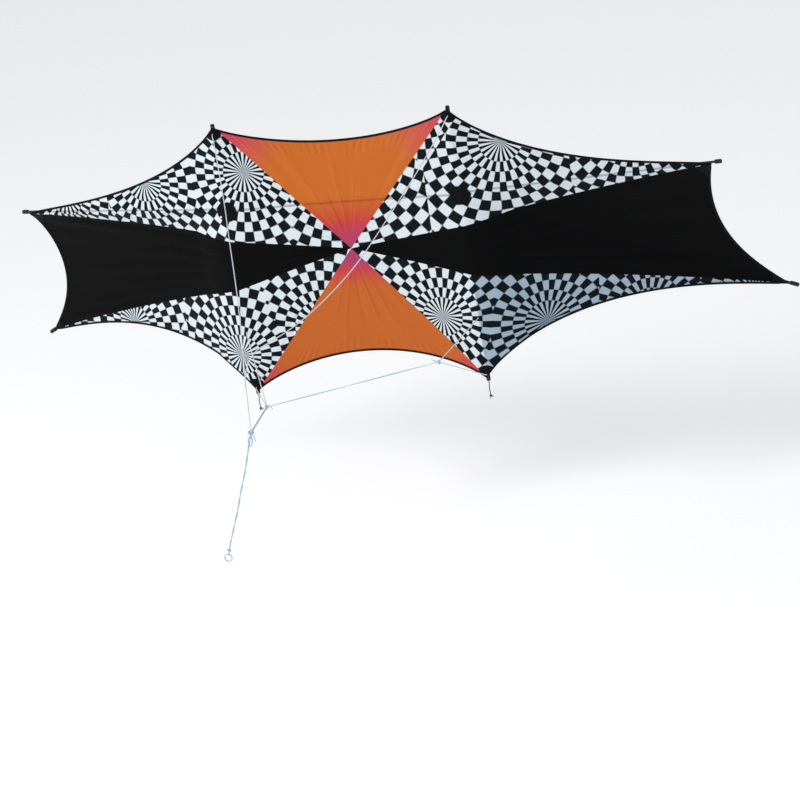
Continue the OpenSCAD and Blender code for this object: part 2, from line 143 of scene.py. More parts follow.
# %% camera
scene = bpy.context.scene
cam = bpy.data.objects.new("camera", bpy.data.cameras.new("camera"))
scene.collection.objects.link(cam)
scene.camera = cam
cam.data.sensor_width, cam.data.lens = 36.0, 167.99
cam.data.clip_start, cam.data.clip_end = 0.5, 80.0
PLACE = (2.5969, -6.9678, 2.5362)
right = Vector((0.95488532, 0.25634585, -0.14993608))
up = Vector((0.05285603, 0.35011624, 0.9352138))
back = Vector((0.29223323, -0.90094696, 0.32077143))
turned = Matrix((right, up, back)).transposed().to_4x4()
cam.matrix_world = Matrix.Translation(PLACE) @ turned
print("camera at", tuple(round(c, 3) for c in cam.location))

# %% [markdown]
# Node trees are written as sums: a small class turns +, - and * into maths nodes.

# %% shader arithmetic
class Num:
    """A number in a node tree, from a socket or a constant."""
    def __init__(self, tree, socket):
        self.tree, self.socket = tree, socket
    def op(self, kind, *others):
        n = self.tree.nodes.new("ShaderNodeMath")
        n.operation = kind
        for i, v in enumerate((self,) + others):
            if isinstance(v, Num):
                self.tree.links.new(v.socket, n.inputs[i])
            else:
                n.inputs[i].default_value = float(v)
        return Num(self.tree, n.outputs[0])
    def __add__(self, o):
        return self.op("ADD", o)
    def __sub__(self, o):
        return self.op("SUBTRACT", o)
    def __mul__(self, o):
        return self.op("MULTIPLY", o)
    __radd__, __rmul__ = __add__, __mul__
    def __rsub__(self, o):
        return self.op("MULTIPLY", -1.0) + o
    def clamp(self):
        return self.op("MAXIMUM", 0.0).op("MINIMUM", 1.0)
    def less(self, o):
        return self.op("LESS_THAN", o)

class Cloth:
    """A material with one Principled shader and helpers for what feeds it."""
    def __init__(self, name, colour=(0.5, 0.5, 0.5), rough=0.6, spec=0.3, **fixed):
        self.mat = bpy.data.materials.new(name)
        self.mat.use_nodes = True
        self.tree = self.mat.node_tree
        self.bsdf = self.tree.nodes["Principled BSDF"]
        self.put("Base Color", (*colour, 1.0))
        self.put("Roughness", rough)
        self.put("Specular IOR Level", spec)
        for k, v in fixed.items():
            self.put(k.replace("_", " "), v)
    def put(self, name, value):
        self.bsdf.inputs[name].default_value = value
    def node(self, kind, values=None, **settings):
        n = self.tree.nodes.new(kind)
        for k, v in settings.items():
            setattr(n, k, v)
        for k, v in (values or {}).items():
            if isinstance(v, Num):
                self.tree.links.new(v.socket, n.inputs[k])
            elif isinstance(v, bpy.types.NodeSocket):
                self.tree.links.new(v, n.inputs[k])
            else:
                n.inputs[k].default_value = v
        return n
    def num(self, socket):
        return Num(self.tree, socket)
    def kite_xz(self):
        """The point's x and z in kite millimetres."""
        tc = self.node("ShaderNodeTexCoord")
        sep = self.node("ShaderNodeSeparateXYZ", {0: tc.outputs["Object"]})
        return self.num(sep.outputs[0]) * 1000.0, self.num(sep.outputs[2]) * 1000.0 + TOW[2]
    def noise(self, scale, detail=2.0):
        tc = self.node("ShaderNodeTexCoord").outputs["Object"]
        values = {"Vector": tc, "Scale": scale, "Detail": detail}
        return self.num(self.node("ShaderNodeTexNoise", values).outputs[0])
    def mix(self, factor, a, b):
        """Colour a where factor is 0, colour b where it is 1."""
        n = self.node("ShaderNodeMix", {0: factor}, data_type="RGBA")
        for i, v in ((6, a), (7, b)):
            if isinstance(v, bpy.types.NodeSocket):
                self.tree.links.new(v, n.inputs[i])
            else:
                n.inputs[i].default_value = (*v, 1.0)
        return n.outputs[2]
    def colour(self, socket): self.tree.links.new(socket, self.bsdf.inputs["Base Color"])
    def rough(self, number): self.tree.links.new(number.socket, self.bsdf.inputs["Roughness"])
    def bump(self, height, strength, distance):
        n = self.node("ShaderNodeBump", {"Height": height, "Strength": strength, "Distance": distance})
        self.tree.links.new(n.outputs[0], self.bsdf.inputs["Normal"])

def smooth(x, lo, hi):
    """0 below lo and 1 above hi, with a straight ramp between."""
    return ((x - lo) * (1.0 / (hi - lo))).clamp()

print("material helpers:", [k for k in vars(Cloth) if not k.startswith("_")])

# %% [markdown]
# Ripstop weave: fine ribs every 5 mm each way, with soft creases over them.

# %% weave
RIB_GAP, RIB_WIDTH = 5.0, 0.16  # millimetres, and a share of the gap
BROAD, FINE = (16.0, 3.0), (70.0, 2.0)  # scale and detail of two sizes of crease

def weave(m, x, z, crease=0.35):
    ribs = None
    for v in (x, z):
        rib = (v * (math.pi / RIB_GAP)).op("SINE").op("ABSOLUTE")
        rib = 1.0 - smooth(rib, 0.0, RIB_WIDTH)
        ribs = rib if ribs is None else ribs.op("MAXIMUM", rib)
    creases = m.noise(*BROAD) * crease + m.noise(*FINE) * (crease * 0.18)
    m.bump(ribs * 0.02 + creases, 0.55, 0.006)

print("ribs every", RIB_GAP, "mm")

# %% [markdown]
# The checked print. Its rays spread from a few star centres, and each point takes the nearest
# star. Rings cross the rays further out, so the checks grow, and they fold where two stars meet.

# %% checked cloth
WHITE, INK, CORE = (0.66, 0.72, 0.76), (0.002, 0.005, 0.008), (0.30, 0.36, 0.40)
RAYS, RING, FIRST_RING = 44, 24.0, 1.5  # rays round a star, ring spacing, and the first ring that shows
CORE_IN, CORE_OUT = 5.0, 12.0
DARK_FROM, DARK_TO = -0.075, 0.035  # where a check turns from white to ink
# painted shade colours: grey along a spar's shadow seen through the cloth, and blue on the right wing past
# its ridge
SHADE, SHADE_BLUE = (0.16, 0.18, 0.20), (0.20, 0.32, 0.44)
STARS = {
    "left_upper": [(-225, 535), (-494, 514), (-720, 478), (-20, 520)],
    "right_upper": [(385, 556), (675, 545), (215, 700), (20, 560)],
    "left_lower": [(-305, 94), (-640, 120), (-95, 140), (-470, -20)],
    "right_lower": [(194, 154), (420, 105), (630, 78), (850, 60)],
}

CROSS_RISE, WING_RISE = 1.5, 5.0  # the cross spar above the hub, and the upper spar above that
SHADOW_HALF, SHADOW_END = 1.6, 3.4

def checked(name):
    m = Cloth("check_" + name, rough=0.55, spec=0.08)
    x, z = m.kite_xz()
    dx = dz = best = None
    for sx, sz in STARS[name]:
        ax, az = x - sx, z - sz
        d = ax * ax + az * az
        if best is None:
            dx, dz, best = ax, az, d
        else:
            pick = d.less(best)
            dx, dz, best = dx + (ax - dx) * pick, dz + (az - dz) * pick, d.op("MINIMUM", best)
    r = best.op("SQRT")
    turn = dz.op("ARCTAN2", dx) * (RAYS / 2.0)
    ring = (r * (1.0 / RING)).op("MAXIMUM", FIRST_RING) * math.pi
    dark = smooth(turn.op("SINE") * ring.op("SINE"), DARK_FROM, DARK_TO)
    tone = m.mix(dark, WHITE, INK)
    tone = m.mix(1.0 - smooth(r, CORE_IN, CORE_OUT), tone, CORE)
    if name == "right_lower":  # painted blue shade on the wing past the ridge, which faces away from the light
        tone = m.mix(smooth(x, SPINE - 1, SPINE + 1) * 0.65, tone, m.mix(dark, SHADE_BLUE, INK))
    # painted shade: a spar's shadow seen through the cloth darkens the checks along it
    tone = m.mix(spar_shadow(x, z) * 0.6, tone, m.mix(dark, SHADE, INK))
    m.colour(tone)
    weave(m, x, z)
    return m.mat

def spar_shadow(x, z):
    """1 where a spar lies close behind the cloth: the mask of its painted shadow seen through the cloth."""
    a = x.op("ABSOLUTE")
    out = smooth(a, SPINE - 2, SPINE + 2)
    level = HUB + CROSS_RISE + out * (WING_RISE - (a - SPINE) * SPAR_FALL)
    return 1.0 - smooth((z - level).op("ABSOLUTE"), SHADOW_HALF, SHADOW_END)

print("star centres:", {k: len(v) for k, v in STARS.items()})

# %% [markdown]
# The orange cloth runs from magenta at the centre through red to orange, and back to pink at the
# outer corners. The black cloth is almost featureless.

# %% orange and black cloth
# the colour at the centre, and the painted shade of a spar seen through the orange cloth
MAGENTA, SPAR_SHADE_RED = (0.38, 0.036, 0.120), (0.30, 0.05, 0.01)
STEPS = {  # on the way out from the centre: start, end and colour of each change
    "top": [(8, 62, (0.52, 0.036, 0.055)), (55, 80, (0.53, 0.072, 0.016)), (80, 125, (0.54, 0.125, 0.009))],
    "bottom": [(30, 62, (0.55, 0.045, 0.045)), (58, 100, (0.50, 0.108, 0.009))],
}
CORNERS = {"top": (170, (0.56, 0.050, 0.090)), "bottom": (110, (0.56, 0.055, 0.070))}  # reach and colour
CORNER_START, WOBBLE = 40, 26.0

def orange(edge):
    m = Cloth("orange_" + edge, rough=0.5, spec=0.25)
    x, z = m.kite_xz()
    upper = edge == "top"
    out = (z - CENTRE[1]) if upper else (CENTRE[1] - z)
    wobble = (m.noise(7.0, 2.0) - 0.5) * WOBBLE
    d = out + wobble
    tone = MAGENTA
    for start, end, colour in STEPS[edge]:
        tone = m.mix(smooth(d, start, end), tone, colour)
    far = SPINE - x.op("ABSOLUTE")
    end = (LENGTH - z) if upper else z
    corner = (far * far + end * end).op("SQRT") + wobble
    reach, pink = CORNERS[edge]
    tone = m.mix(1.0 - smooth(corner, CORNER_START, reach), tone, pink)
    # painted shade: a spar's shadow seen through the cloth darkens the orange along it
    tone = m.mix(spar_shadow(x, z) * 0.65, tone, SPAR_SHADE_RED)
    m.colour(tone)
    weave(m, x, z, 0.5)
    return m.mat

def plain(name, colour, rough=0.6, spec=0.03, crease=0.3):
    m = Cloth(name, colour, rough, spec)
    x, z = m.kite_xz()
    weave(m, x, z, crease)
    return m.mat

BLACK = (0.0032, 0.0033, 0.0036)
mats = {k: checked(k) for k in STARS}
mats["orange_top"], mats["orange_bottom"] = orange("top"), orange("bottom")
mats["black_cloth"] = plain("black_cloth", BLACK)
mats["tape"] = plain("black_tape", (0.004, 0.004, 0.005), 0.7, 0.08, 0.15)
print("cloth materials", len(mats))

# %% [markdown]
# Rods, fittings, caps and cords. A rod has a faint speckle in its roughness and bump, a cap is dull
# soft vinyl, and a cord is braided, with light and shade across its strands.

# %% hard and cord materials
def carbon():
    m = Cloth("carbon", (0.02, 0.02, 0.022), 0.34, 0.45)
    n = m.noise(420.0, 3.0)
    m.rough(n * 0.25 + 0.24)
    m.bump(n, 0.12, 0.0004)
    return m.mat

def moulded(name, colour, rough):
    m = Cloth(name, colour, rough, 0.35)
    n = m.noise(900.0, 2.0)
    m.rough(n * 0.15 + (rough - 0.07))
    m.bump(n, 0.2, 0.0002)
    return m.mat

def braid(name, light, dark, rough=0.6):
    m = Cloth(name, light, rough, 0.25)
    uv = m.node("ShaderNodeUVMap", uv_map="UVMap")
    sep = m.node("ShaderNodeSeparateXYZ", {0: uv.outputs[0]})
    u, v = m.num(sep.outputs[0]), m.num(sep.outputs[1])
    a = ((u * 4.0 + v) * (2 * math.pi)).op("SINE")
    b = ((u * 4.0 - v) * (2 * math.pi)).op("SINE")
    strand = (a * b) * 0.5 + 0.5
    m.colour(m.mix(strand, dark, light))
    m.bump(strand, 0.5, 0.0006)
    return m.mat

mats["carbon"] = carbon()
mats["vinyl"] = moulded("vinyl", (0.012, 0.012, 0.014), 0.62)
mats["nylon"] = moulded("nylon", (0.018, 0.018, 0.02), 0.45)
mats["pale"] = moulded("pale_nylon", (0.75, 0.78, 0.80), 0.4)
mats["leg"] = braid("leg", (0.80, 0.85, 0.88), (0.58, 0.66, 0.72))
mats["cord"] = braid("cord", (0.58, 0.74, 0.84), (0.32, 0.50, 0.64))
mats["black_cord"] = braid("black_cord", (0.012, 0.012, 0.014), (0.004, 0.004, 0.005))
mats["thread"] = Cloth("thread", (0.02, 0.02, 0.024), 0.6, 0.3).mat

def material_of(name):
    if name.endswith(("spine", "spar")):
        return mats["carbon"]
    return mats["vinyl" if "cap" in name or "nock" in name else "nylon"]

for name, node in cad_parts.items():
    node.data.materials.clear()
    node.data.materials.append(material_of(name))
print("materials", len(bpy.data.materials))

# %% [markdown]
# Mesh helpers. A grid is points in rows and columns; a tube follows a line of points.

# %% mesh helpers
def make(name, verts, faces, mat, uvs=None):
    me = bpy.data.meshes.new(name)
    me.from_pydata([tuple(v) for v in verts], [], faces)
    me.materials.append(mat)
    if uvs is not None:
        layer = me.uv_layers.new(name="UVMap")
        index = np.empty(len(me.loops), int)
        me.loops.foreach_get("vertex_index", index)
        layer.data.foreach_set("uv", np.asarray(uvs, np.float32)[index].ravel())
    me.polygons.foreach_set("use_smooth", [True] * len(me.polygons))
    me.update()
    ob = bpy.data.objects.new(name, me)
    scene.collection.objects.link(ob)
    return ob

def grid_faces(rows, cols, offset=0):
    """Faces between the points of a grid."""
    faces = []
    for i in range(rows - 1):
        for j in range(cols - 1):
            a = offset + i * cols + j
            faces.append((a, a + 1, a + cols + 1, a + cols))
    return faces

def ring_faces(rings, sides):
    """Faces between closed rings of points."""
    faces = []
    for i in range(rings - 1):
        for j in range(sides):
            k = (j + 1) % sides
            faces.append((i * sides + j, i * sides + k, (i + 1) * sides + k, (i + 1) * sides + j))
    return faces

def face_front(ob):
    """Turns the faces of an open sheet towards the viewer."""
    me = ob.data
    if sum(p.normal.y * p.area for p in me.polygons) > 0:
        me.flip_normals()
    return ob

def line_frames(p):
    """Unit tangent, side and up at each point, turned as little as possible along the line."""
    t = np.gradient(p, axis=0)
    t /= np.linalg.norm(t, axis=1, keepdims=True)
    s = np.cross(t[0], [0, 0, 1] if abs(t[0][2]) < 0.9 else [1, 0, 0])
    sides = []
    for k in t:
        s = s - (s @ k) * k
        s /= np.linalg.norm(s)
        sides.append(s)
    sides = np.array(sides)
    return t, sides, np.cross(t, sides)

def spline(points, step):
    """A smooth line through the points (Catmull-Rom), sampled about every step millimetres."""
    p = np.asarray(points, float)
    if len(p) == 2:
        n = max(2, int(np.linalg.norm(p[1] - p[0]) / step))
        return p[0] + (p[1] - p[0]) * np.linspace(0, 1, n + 1)[:, None]
    q = np.vstack([2 * p[0] - p[1], p, 2 * p[-1] - p[-2]])
    out = []
    for i in range(1, len(q) - 2):
        n = max(1, int(round(np.linalg.norm(q[i + 1] - q[i]) / step)))
        u = (np.arange(n) / n)[:, None]
        m0, m1 = (q[i + 1] - q[i - 1]) / 2, (q[i + 2] - q[i]) / 2
        out.append((2 * u**3 - 3 * u**2 + 1) * q[i] + (u**3 - 2 * u**2 + u) * m0
                   + (-2 * u**3 + 3 * u**2) * q[i + 1] + (u**3 - u**2) * m1)
    return np.vstack(out + [p[-1:]])

def tube_parts(p, r, sides=10):
    """Vertices, faces and uvs of a closed tube along p, in kite millimetres."""
    t, a, b = line_frames(p)
    k = np.arange(sides) * 2 * math.pi / sides
    ring = np.cos(k)[None, :, None] * a[:, None] + np.sin(k)[None, :, None] * b[:, None]
    v = (p[:, None] + r * ring).reshape(-1, 3)
    n = len(p)
    faces = [f[::-1] for f in ring_faces(n, sides)]
    faces += [tuple(range(sides)), tuple((n - 1) * sides + j for j in range(sides))[::-1]]
    along = np.concatenate([[0], np.cumsum(np.linalg.norm(np.diff(p, axis=0), axis=1))]) / (r * 5)
    uv = np.stack([np.tile(np.arange(sides) / sides, n), np.repeat(along, sides)], 1)
    return v, faces, uv

def tubes(name, lines, mat, sides=10):
    """One mesh of several tubes: lines is a list of (points, radius)."""
    verts, faces, uvs, base = [], [], [], 0
    for p, r in lines:
        v, f, u = tube_parts(np.asarray(p, float), r, sides)
        verts.append(v)
        uvs.append(u)
        faces += [tuple(i + base for i in q) for q in f]
        base += len(v)
    return make(name, row(np.vstack(verts)), faces, mat, np.vstack(uvs))

print("points on a line of 40 mm at every 2 mm:", len(spline([(0, 0, 0), (40, 0, 0)], 2)))

# %% [markdown]
# The bridle comes before the cloth. Two long legs run from the spines' tops to the tow knot. A
# pair of short legs forms a V at each spine's foot, the two V knots are joined by a cross leg, and
# a twisted pair of lines joins the left V knot to the tow knot.

# %% bridle routes
LEFT_V, RIGHT_V = np.array([-169.0, -265, 54]), np.array([251.0, -265, 138])
OUT = -12.0  # just in front of the cloth
TOP_TIE, UPPER_TIE, LOWER_TIE = 632, 150, 12  # heights of the ties on a spine
V_STOP, TOW_STOP = 5.2, 6  # a cord stops this far from the middle of a side knot or the tow knot

def toward(p, q, r):
    """The point on the way from q to p, r from q."""
    p, q = np.asarray(p, float), np.asarray(q, float)
    return q + (p - q) / np.linalg.norm(p - q) * r

def v_leg(x, start_y, height, knot):
    """From a spine, out of the cloth, to its side knot."""
    outside = (x, OUT, height)
    return [(x, start_y, height), outside, toward(outside, knot, V_STOP)]

ROUTES = {
    "left_top_leg": [(-SPINE, -5.1, TOP_TIE), (-SPINE, OUT, TOP_TIE), (-262, -60, 600), (-209, -205, 524),
                     (-175, -305, 471), (-120, -465, 391), (-80, -592, 330), (-40, -725, 266),
                     toward((-40, -725, 266), TOW, TOW_STOP)],
    "right_top_leg": [(SPINE, -5.1, TOP_TIE), (SPINE, OUT, TOP_TIE), (262, -58, 596), (225, -150, 537),
                      (169, -292, 458), (143, -360, 424), (118, -410, 398), (90, -465, 375),
                      (66, -512, 359), (48, -548, 349), (22, -590, 338), (-6, -630, 330),
                      (-28, -658, 322), (-40, -684, 306), (-42, -706, 290), (-38, -732, 275),
                      (-25, -768, 257), (-0.9, -846.1, 210.5)],
    "left_upper_v_leg": v_leg(-SPINE, -3.1, UPPER_TIE, LEFT_V),
    "left_lower_v_leg": v_leg(-SPINE, -5.1, LOWER_TIE, LEFT_V),
    "right_upper_v_leg": v_leg(SPINE, -3.1, UPPER_TIE, RIGHT_V),
    "right_lower_v_leg": v_leg(SPINE, -5.1, LOWER_TIE, RIGHT_V),
    "cross_leg": [toward(LEFT_V, RIGHT_V, V_STOP), toward(RIGHT_V, LEFT_V, V_STOP)],
    "tow_pair": [toward(TOW, LEFT_V, V_STOP), toward(LEFT_V, TOW, TOW_STOP)],
    "leader": [toward((-4, -868, 180), TOW, TOW_STOP), (-6, -872, 172), (-14, -885, 136),
               (-25, -900, 98), (-34, -914, 62), (-44, -930, 27), (-54, -941, -5)],
}

def eased_exit(route, reach=9.0):
    """The route with the corner just outside the cloth rounded, as a limp line bends there."""
    a, c, b = (np.asarray(q, float) for q in route[:3])
    b0 = toward(b, c, reach)
    a0 = toward(a, c, min(reach, np.linalg.norm(a - c) - 0.5))
    u = np.linspace(0, 1, 7)[:, None]
    bend = (1 - u) ** 2 * a0 + 2 * u * (1 - u) * c + u ** 2 * b0
    return [tuple(a)] + [tuple(q) for q in bend] + [tuple(q) for q in route[2:]]

for name in ROUTES:
    if name.endswith("leg") and name != "cross_leg":
        ROUTES[name] = eased_exit(ROUTES[name])

def length_of(p):
    """Length of a line of points, in metres."""
    return float(np.linalg.norm(np.diff(p, axis=0), axis=1).sum()) / 1000.0

print("routes and their points:", {k: len(v) for k, v in ROUTES.items()})

# %% [markdown]
# A knot is a cord wound round itself: a trefoil, turned to lie along its cord, with short tag ends.

# %% knots
KNOT_DEPTH = 1.28  # how far the trefoil's strands pass over and under

def knot_line(centre, size, axis):
    """A closed trefoil line, turned to lie along the axis."""
    t = np.linspace(0, 2 * math.pi, 97)
    loops = [np.sin(t) + 2 * np.sin(2 * t), np.cos(t) - 2 * np.cos(2 * t), -np.sin(3 * t) * KNOT_DEPTH]
    p = np.stack(loops, 1) * (size / 3.2)
    z = np.asarray(axis, float) / np.linalg.norm(axis)
    x = np.cross([0, 0, 1] if abs(z[2]) < 0.9 else [1, 0, 0], z)
    x /= np.linalg.norm(x)
    return p @ np.array([x, np.cross(z, x), z]) + np.asarray(centre, float)

def tag(centre, ends):
    """A short free end that leaves a knot through the given offsets."""
    c = np.asarray(centre, float)
    return spline([c + np.asarray(e, float) for e in ends], 1.5)

def put_knot(name, node, centre, size, r, axis, tags, mat):
    lines = [(knot_line(centre, size, axis), r)] + [(tag(centre, e), r * 0.8) for e in tags]
    ob = tubes(name, lines, mat, 8)
    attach(ob, "root")
    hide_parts(node)
    return ob

knots = {
    "left_v": put_knot("left_v_knot_visual", "left_v_knot", LEFT_V, 5.0, 1.25, LEFT_V - TOW,
                       [[(0, 0, 0), (6, -4, 3), (13, -9, 2), (16, -10, -3)]], mats["cord"]),
    "right_v": put_knot("right_v_knot_visual", "right_v_knot", RIGHT_V, 5.0, 1.25, RIGHT_V - LEFT_V,
                        [[(0, 0, 0), (-6, -4, 3), (-12, -6, 8)]], mats["cord"]),
    "tow": put_knot("tow_knot_visual", "tow_knot", TOW, 6.2, 1.5, (0, -600, 150),
                    [[(0, 0, 0), (6, -5, -3), (9, -8, -9), (10, -8, -16)],
                     [(0, 0, -4), (-5, -7, -10), (-6, -9, -20), (-2, -8, -26), (2, -7, -18), (1, -4, -7)]],
                    mats["cord"]),
}
print("knots:", [k.name for k in knots.values()])

# %% [markdown]
# The cords themselves, each built to its thickness, with its length printed.

# %% cords
STRANDED = {"tow_pair": 34.0, "cross_leg": 400.0, "leader": 60.0}  # length of one turn
RADIUS = {"cross_leg": 1.5, "tow_pair": 2.2, "leader": 2.0}
LEG_RADIUS, STRAND_SIDES = 1.1, 8
SLACK = ("right_top_leg", "leader")

def strands(mid, r, pitch):
    """Two lines laid round each other along mid, to an outer radius of r."""
    t, a, b = line_frames(mid)
    s = np.concatenate([[0], np.cumsum(np.linalg.norm(np.diff(mid, axis=0), axis=1))])
    turn = (s / pitch * 2 * math.pi)[:, None]
    swing = (np.cos(turn) * a + np.sin(turn) * b) * (r * 0.48)
    return [(mid + swing, r * 0.52), (mid - swing, r * 0.52)]

for name, route in ROUTES.items():
    r = RADIUS.get(name, LEG_RADIUS)
    if name in STRANDED:
        mid = spline(route, 2.5)
        ob = tubes(name + "_visual", strands(mid, r, STRANDED[name]), mats["cord"], STRAND_SIDES)
    else:
        mid = spline(route, 4.0)
        ob = tubes(name + "_visual", [(mid, r)], mats["leg"])
    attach(ob, "root")
    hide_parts(name)
    2 * r / 1000
    "object" if name == "leader" else "knot"
    "loose" if name in SLACK else "taut"
    print(name, "length", round(length_of(mid), 3), "m")

# %% [markdown]
# The leader ends in a tied loop, and a short black tie hangs from the foot of each spine.

# %% loop and ties
LOOP, EYE_RADIUS = np.array([-61.0, -950, -34]), 8
t = np.linspace(0, 2 * math.pi, 49)
eye = LOOP + np.stack([EYE_RADIUS * np.sin(t), 0 * t, EYE_RADIUS * np.cos(t)], 1)
loop_knot = LOOP + [3.5, 4.5, 15.5]
throat = spline([LOOP + [1.9, 0.5, 7.7], loop_knot, (-54, -941, -5)], 2)
loop = tubes("leader_loop_visual", [(eye, 1.25), (eye + [0, 1.6, 0], 1.0),
                                    (knot_line(loop_knot, 4.2, (5, 8, 21)), 1.2), (throat, 1.7)],
             mats["cord"], STRAND_SIDES)
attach(loop, "root")
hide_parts("leader_loop")
for s, side in SIDES:
    x = s * SPINE
    lines = [(spline([(x, 0, -3.3), (x, 0, -14), (x - 1, -1, -26), (x, -1, -41)], 2), 1.1),
             (knot_line((x, -1, -42), 3.0, (0, 0, 1)), 1.0),
             (spline([(x, -1, -42), (x + 3, -2, -45), (x + 5, -3, -44), (x + 7, -3, -41)], 1.5), 0.7),
             (spline([(x, -1, -42), (x - 2, -2, -46), (x - 1, -2, -49)], 1.5), 0.7)]
    tie = tubes(side + "_tail_tie_visual", lines, mats["black_cord"], 8)
    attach(tie, "root")
    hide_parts(side + "_tail_tie")
    print(tie.name, "faces", len(tie.data.polygons))

# %% [markdown]
# Eight cloth panels meet at the centre. Each is one sheet from the centre to its scallop. The
# check and black panels cross a spine and bend over its ridge.

# %% panels
def folds(u, v, places):
    """Folds that run out from the centre at the given places across the panel, and puckers
    along the scallop, in millimetres."""
    out = 0
    for place, start, stop, high in places:
        side = (u - place - 0.012 * np.sin(v * 5 + place * 20)) / (0.006 + 0.012 * v)
        ends = np.clip((v - start) * 8, 0, 1) * np.clip((stop - v) * 6, 0, 1)
        out = out + high * np.exp(-side ** 2) * ends
    pucker = np.sin(u * 62 * math.pi) * np.sin(u * 17 + 1.0) * np.exp(-((v - 0.93) / 0.05) ** 2)
    return (out + 1.1 * pucker) * np.clip(np.minimum(u, 1 - u) * 30, 0, 1) * np.clip((1 - v) * 25, 0, 1)

FOLDS = {  # place across the panel, start and end on the way out, height
    "top": [(0.42, 0.15, 0.72, 1.5), (0.52, 0.1, 0.95, 1.4), (0.60, 0.12, 0.6, -1.3),
            (0.35, 0.2, 0.5, 1.2), (0.75, 0.3, 0.8, 0.8)],
    "bottom": [(0.40, 0.1, 0.95, 1.6), (0.50, 0.15, 0.85, -1.4), (0.58, 0.15, 0.8, 1.5),
               (0.30, 0.2, 0.7, 1.1), (0.70, 0.3, 0.9, 1.2)],
}

def creases(v, u, seed):
    """Small waves in the cloth, in millimetres, that die out at every edge."""
    rng = np.random.default_rng(seed)
    out = np.zeros(np.broadcast(u, v).shape)
    for k in range(7):
        a, b, ph = rng.uniform(4, 16), rng.uniform(-3, 3), rng.uniform(0, 6.28)
        out = out + np.sin(a * math.pi * u + b * v * 3 + ph) * rng.uniform(0.15, 0.45)
    calm = np.clip(np.minimum(u, 1 - u) * 9, 0, 1) * np.clip((1 - v) * 8, 0, 1) * np.clip(v * 4, 0, 1)
    return out * calm

def area_of(P):
    """Area of a grid of points."""
    a = np.linalg.norm(np.cross(P[1:, :-1] - P[:-1, :-1], P[:-1, 1:] - P[:-1, :-1]), axis=-1)
    b = np.linalg.norm(np.cross(P[1:, :-1] - P[1:, 1:], P[:-1, 1:] - P[1:, 1:]), axis=-1)
    return float((a + b).sum() / 2)

def cut_size(P2):
    """Width and length of the smallest rectangle that holds the cloth laid flat, in metres. Each
    point is laid out at its arc length from the middle, at its own height."""
    x, z = P2[..., 0], P2[..., 1]
    X = x[..., None] * np.linspace(0, 1, 120)
    y = sail_y(X, np.broadcast_to(z[..., None], X.shape))
    flat = np.stack([np.sign(x) * np.hypot(np.diff(X), np.diff(y)).sum(-1), z], -1).reshape(-1, 2)
    boxes = []
    for turn in np.radians(np.arange(0, 180, 2)):
        c, s = math.cos(turn), math.sin(turn)
        a, b = np.ptp(flat @ np.array([[c, -s], [s, c]]), axis=0) / 1000.0
        boxes.append((a * b, min(a, b), max(a, b)))
    return min(boxes)[1:]

def sheet_mesh(name, flat, lift, mat):
    """A panel from a grid of [x, z] points: the object, its flat size and its area."""
    points = row(on_sail(flat, lift))
    rows, cols = points.shape[:2]
    ob = face_front(make(name, points.reshape(-1, 3), grid_faces(rows, cols), mat))
    return ob, cut_size(flat), area_of(points)

def fold_at_spine(ob):
    """Bakes the piece's placement into its mesh."""
    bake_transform(ob)

UNDER_TAPE = 1.4  # the cloth stops this far inside the tape's edge
CENTRE_GAP = 0.003  # a panel starts this share of the way out from the centre
for edge, seed in (("top", 3), ("bottom", 8)):
    u, v = np.linspace(0.004, 0.996, 301)[:, None], np.linspace(CENTRE_GAP, 1, 49)[None, :]
    rim = scallop(edge, u[:, 0], UNDER_TAPE)
    flat = CENTRE + (rim - CENTRE)[:, None, :] * v[..., None]
    lift = creases(v, u, seed) + folds(u, v, FOLDS[edge])
    ob, size, area = sheet_mesh(edge + "_cloth", flat, lift, mats["orange_" + edge])
    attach(ob, "root")
    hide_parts(edge + "_panel")

# %% [markdown]
# A wing panel runs from the centre, over the ridge at its spine, to its scallop. Two neighbours
# meet along one seam.

# %% wing panels
WING = {  # heights on the ridge, scallop, its stations, rise of the first and last rows
    "upper_check": (650, 371, "upper", (0.993, 0.0), (0, 4)),
    "black": (371, 253, "side", (1.0, 0.0), (4, 12)),
    "lower_check": (253, 0, "lower", (1.0, 0.007), (12, 0)),
}
WING_ROWS = 81
for s, side in SIDES:
    for k, (name, (high, low, edge, (t0, t1), bows)) in enumerate(WING.items()):
        first, last = 0.002 if name == "upper_check" else 0, 0.998 if name == "lower_check" else 1
        u = np.linspace(first, last, WING_ROWS)
        ridge = np.stack([np.full(WING_ROWS, SPINE), high + (low - high) * u], 1)
        rim = scallop(edge, eased(t0, t1, u), UNDER_TAPE)
        v1, v2 = np.linspace(CENTRE_GAP, 1, 25), np.linspace(0, 1, 49)[1:]
        inner = CENTRE + (ridge - CENTRE)[:, None, :] * v1[:, None]
        outer = ridge[:, None] + (rim - ridge)[:, None] * v2[:, None]
        bow = bows[0] + (bows[1] - bows[0]) * u
        outer[..., 1] += bow[:, None] * 4 * v2 * (1 - v2)
        flat = mirrored(np.concatenate([inner, outer], 1), s)
        inner_waves = creases(v1[None], u[:, None], 11 * k + s + 20)
        outer_waves = creases(v2[None], u[:, None], 17 * k + s + 50) * 1.3
        near_ridge, past_ridge = np.clip((1 - v1) * 8, 0, 1), np.clip(v2 * 10, 0, 1)
        lift = np.concatenate([inner_waves * near_ridge, outer_waves * past_ridge], 1)
        slot = "black_cloth" if name == "black" else "checked_cloth"
        mat = mats["black_cloth" if name == "black" else f"{side}_{name.split('_')[0]}"]
        ob, size, area = sheet_mesh(f"{side}_{name}_cloth", flat, lift, mat)
        fold_at_spine(ob)
        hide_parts(f"{side}_inner_{name}", f"{side}_wing_{name}")

